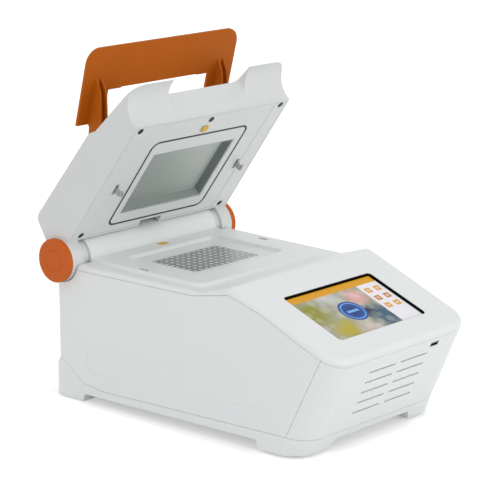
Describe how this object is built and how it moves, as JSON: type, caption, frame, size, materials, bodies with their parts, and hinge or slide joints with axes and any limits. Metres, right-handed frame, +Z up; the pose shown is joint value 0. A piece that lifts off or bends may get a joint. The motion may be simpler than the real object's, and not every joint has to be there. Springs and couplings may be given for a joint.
{
  "type": "thermal cycler",
  "caption": "Bench thermal cycler with a hinged heated lid, a swinging latch handle, a well block in a dished deck, a sloping touch screen and a vented housing.",
  "frame": {"origin": "middle of the overall box at bench level", "axes": "+X to the right seen from the front, +Y to the back, +Z up"},
  "size_m": [0.2808, 0.4376, 0.4119],
  "materials": {
    "white_plastic": "satin moulded housing plastic",
    "orange_plastic": "satin orange plastic",
    "black_rubber": "matt black rubber",
    "black_plastic": "matt black plastic",
    "touch_glass": "dark display glass",
    "steel": "bright steel",
    "black_steel": "blackened screws",
    "aluminium": "bare aluminium",
    "bronze": "sintered bronze",
    "foam": "felt and foam insulation",
    "ceramic": "white ceramic faces",
    "board": "green circuit board",
    "heater": "silicone heater mat"
  },
  "bodies": {
    "housing": {"base_tray": "white_plastic", "rubber_feet": "black_rubber", "right_side_panel": "white_plastic", "left_side_panel": "white_plastic", "rear_panel": "white_plastic", "front_panel": "white_plastic", "top_cover": "white_plastic", "touch_glass": "touch_glass", "display_module": "black_plastic", "usb_port": "steel", "sample_block": "aluminium", "block_collar": "foam", "heat_pumps": "ceramic", "heat_sink": "aluminium", "air_duct": "steel", "chassis_plate": "steel", "left_fan_frame": "black_plastic", "right_fan_frame": "black_plastic", "power_supply": "steel", "control_board": "board", "power_inlet": "black_plastic", "hinge_barrel": "white_plastic", "hinge_blocks": "aluminium", "hinge_shafts": "steel", "latch_catches": "steel"},
    "lid": {"lid_shell": "white_plastic", "lid_panel": "white_plastic", "lid_screws": "black_steel", "lid_gasket": "black_rubber", "plate_frame": "white_plastic", "hinge_bushes": "bronze", "right_hinge_cap": "orange_plastic", "left_hinge_cap": "orange_plastic", "hook_brackets": "steel", "hook_pins": "steel"},
    "hot_plate": {"heated_plate": "aluminium", "heater_mat": "heater", "heater_felt": "foam", "leaf_springs": "steel"},
    "handle": {"handle": "orange_plastic", "handle_shaft": "steel", "crank_pins": "steel"},
    "right_hook": {"right_hook": "steel"},
    "left_hook": {"left_hook": "steel"},
    "power_rocker": {"power_rocker": "black_plastic"},
    "left_fan": {"left_fan_rotor": "black_plastic"},
    "right_fan": {"right_fan_rotor": "black_plastic"}
  },
  "joints": [
    {"name": "lid_hinge", "type": "hinge", "parent": "housing", "child": "lid", "pos_m": [0, 0.18341, 0.165], "axis": [1, 0, 0], "range_deg": [0, 53.17]},
    {"name": "handle_pivot", "type": "hinge", "parent": "lid", "child": "handle", "pos_m": [0, 0.14969, 0.27342], "axis": [1, 0, 0], "range_deg": [0, 31.8]},
    {"name": "right_hook_pivot", "type": "hinge", "parent": "lid", "child": "right_hook", "pos_m": [0.1, 0.12648, 0.25604], "axis": [1, 0, 0], "range_deg": [-16.5, 0]},
    {"name": "left_hook_pivot", "type": "hinge", "parent": "lid", "child": "left_hook", "pos_m": [-0.1, 0.12648, 0.25604], "axis": [1, 0, 0], "range_deg": [-16.5, 0]},
    {"name": "hot_plate_float", "type": "slide", "parent": "lid", "child": "hot_plate", "axis": [0, 0.8004, 0.5994], "range_m": [0, 0.0025], "stiffness_N_per_m": 6000, "springref_m": -0.001},
    {"name": "rocker_pivot", "type": "hinge", "parent": "housing", "child": "power_rocker", "pos_m": [-0.1, 0.18551, 0.087], "axis": [1, 0, 0], "range_deg": [-14, 0]},
    {"name": "left_fan_spin", "type": "hinge", "parent": "housing", "child": "left_fan", "pos_m": [-0.041, 0.16, 0.084], "axis": [0, 1, 0], "continuous": true},
    {"name": "right_fan_spin", "type": "hinge", "parent": "housing", "child": "right_fan", "pos_m": [0.041, 0.16, 0.084], "axis": [0, 1, 0], "continuous": true}
  ],
  "couplings": [
    {"joint": "right_hook_pivot", "follows": "handle_pivot", "ratio": -0.51},
    {"joint": "left_hook_pivot", "follows": "handle_pivot", "ratio": -0.51}
  ]
}
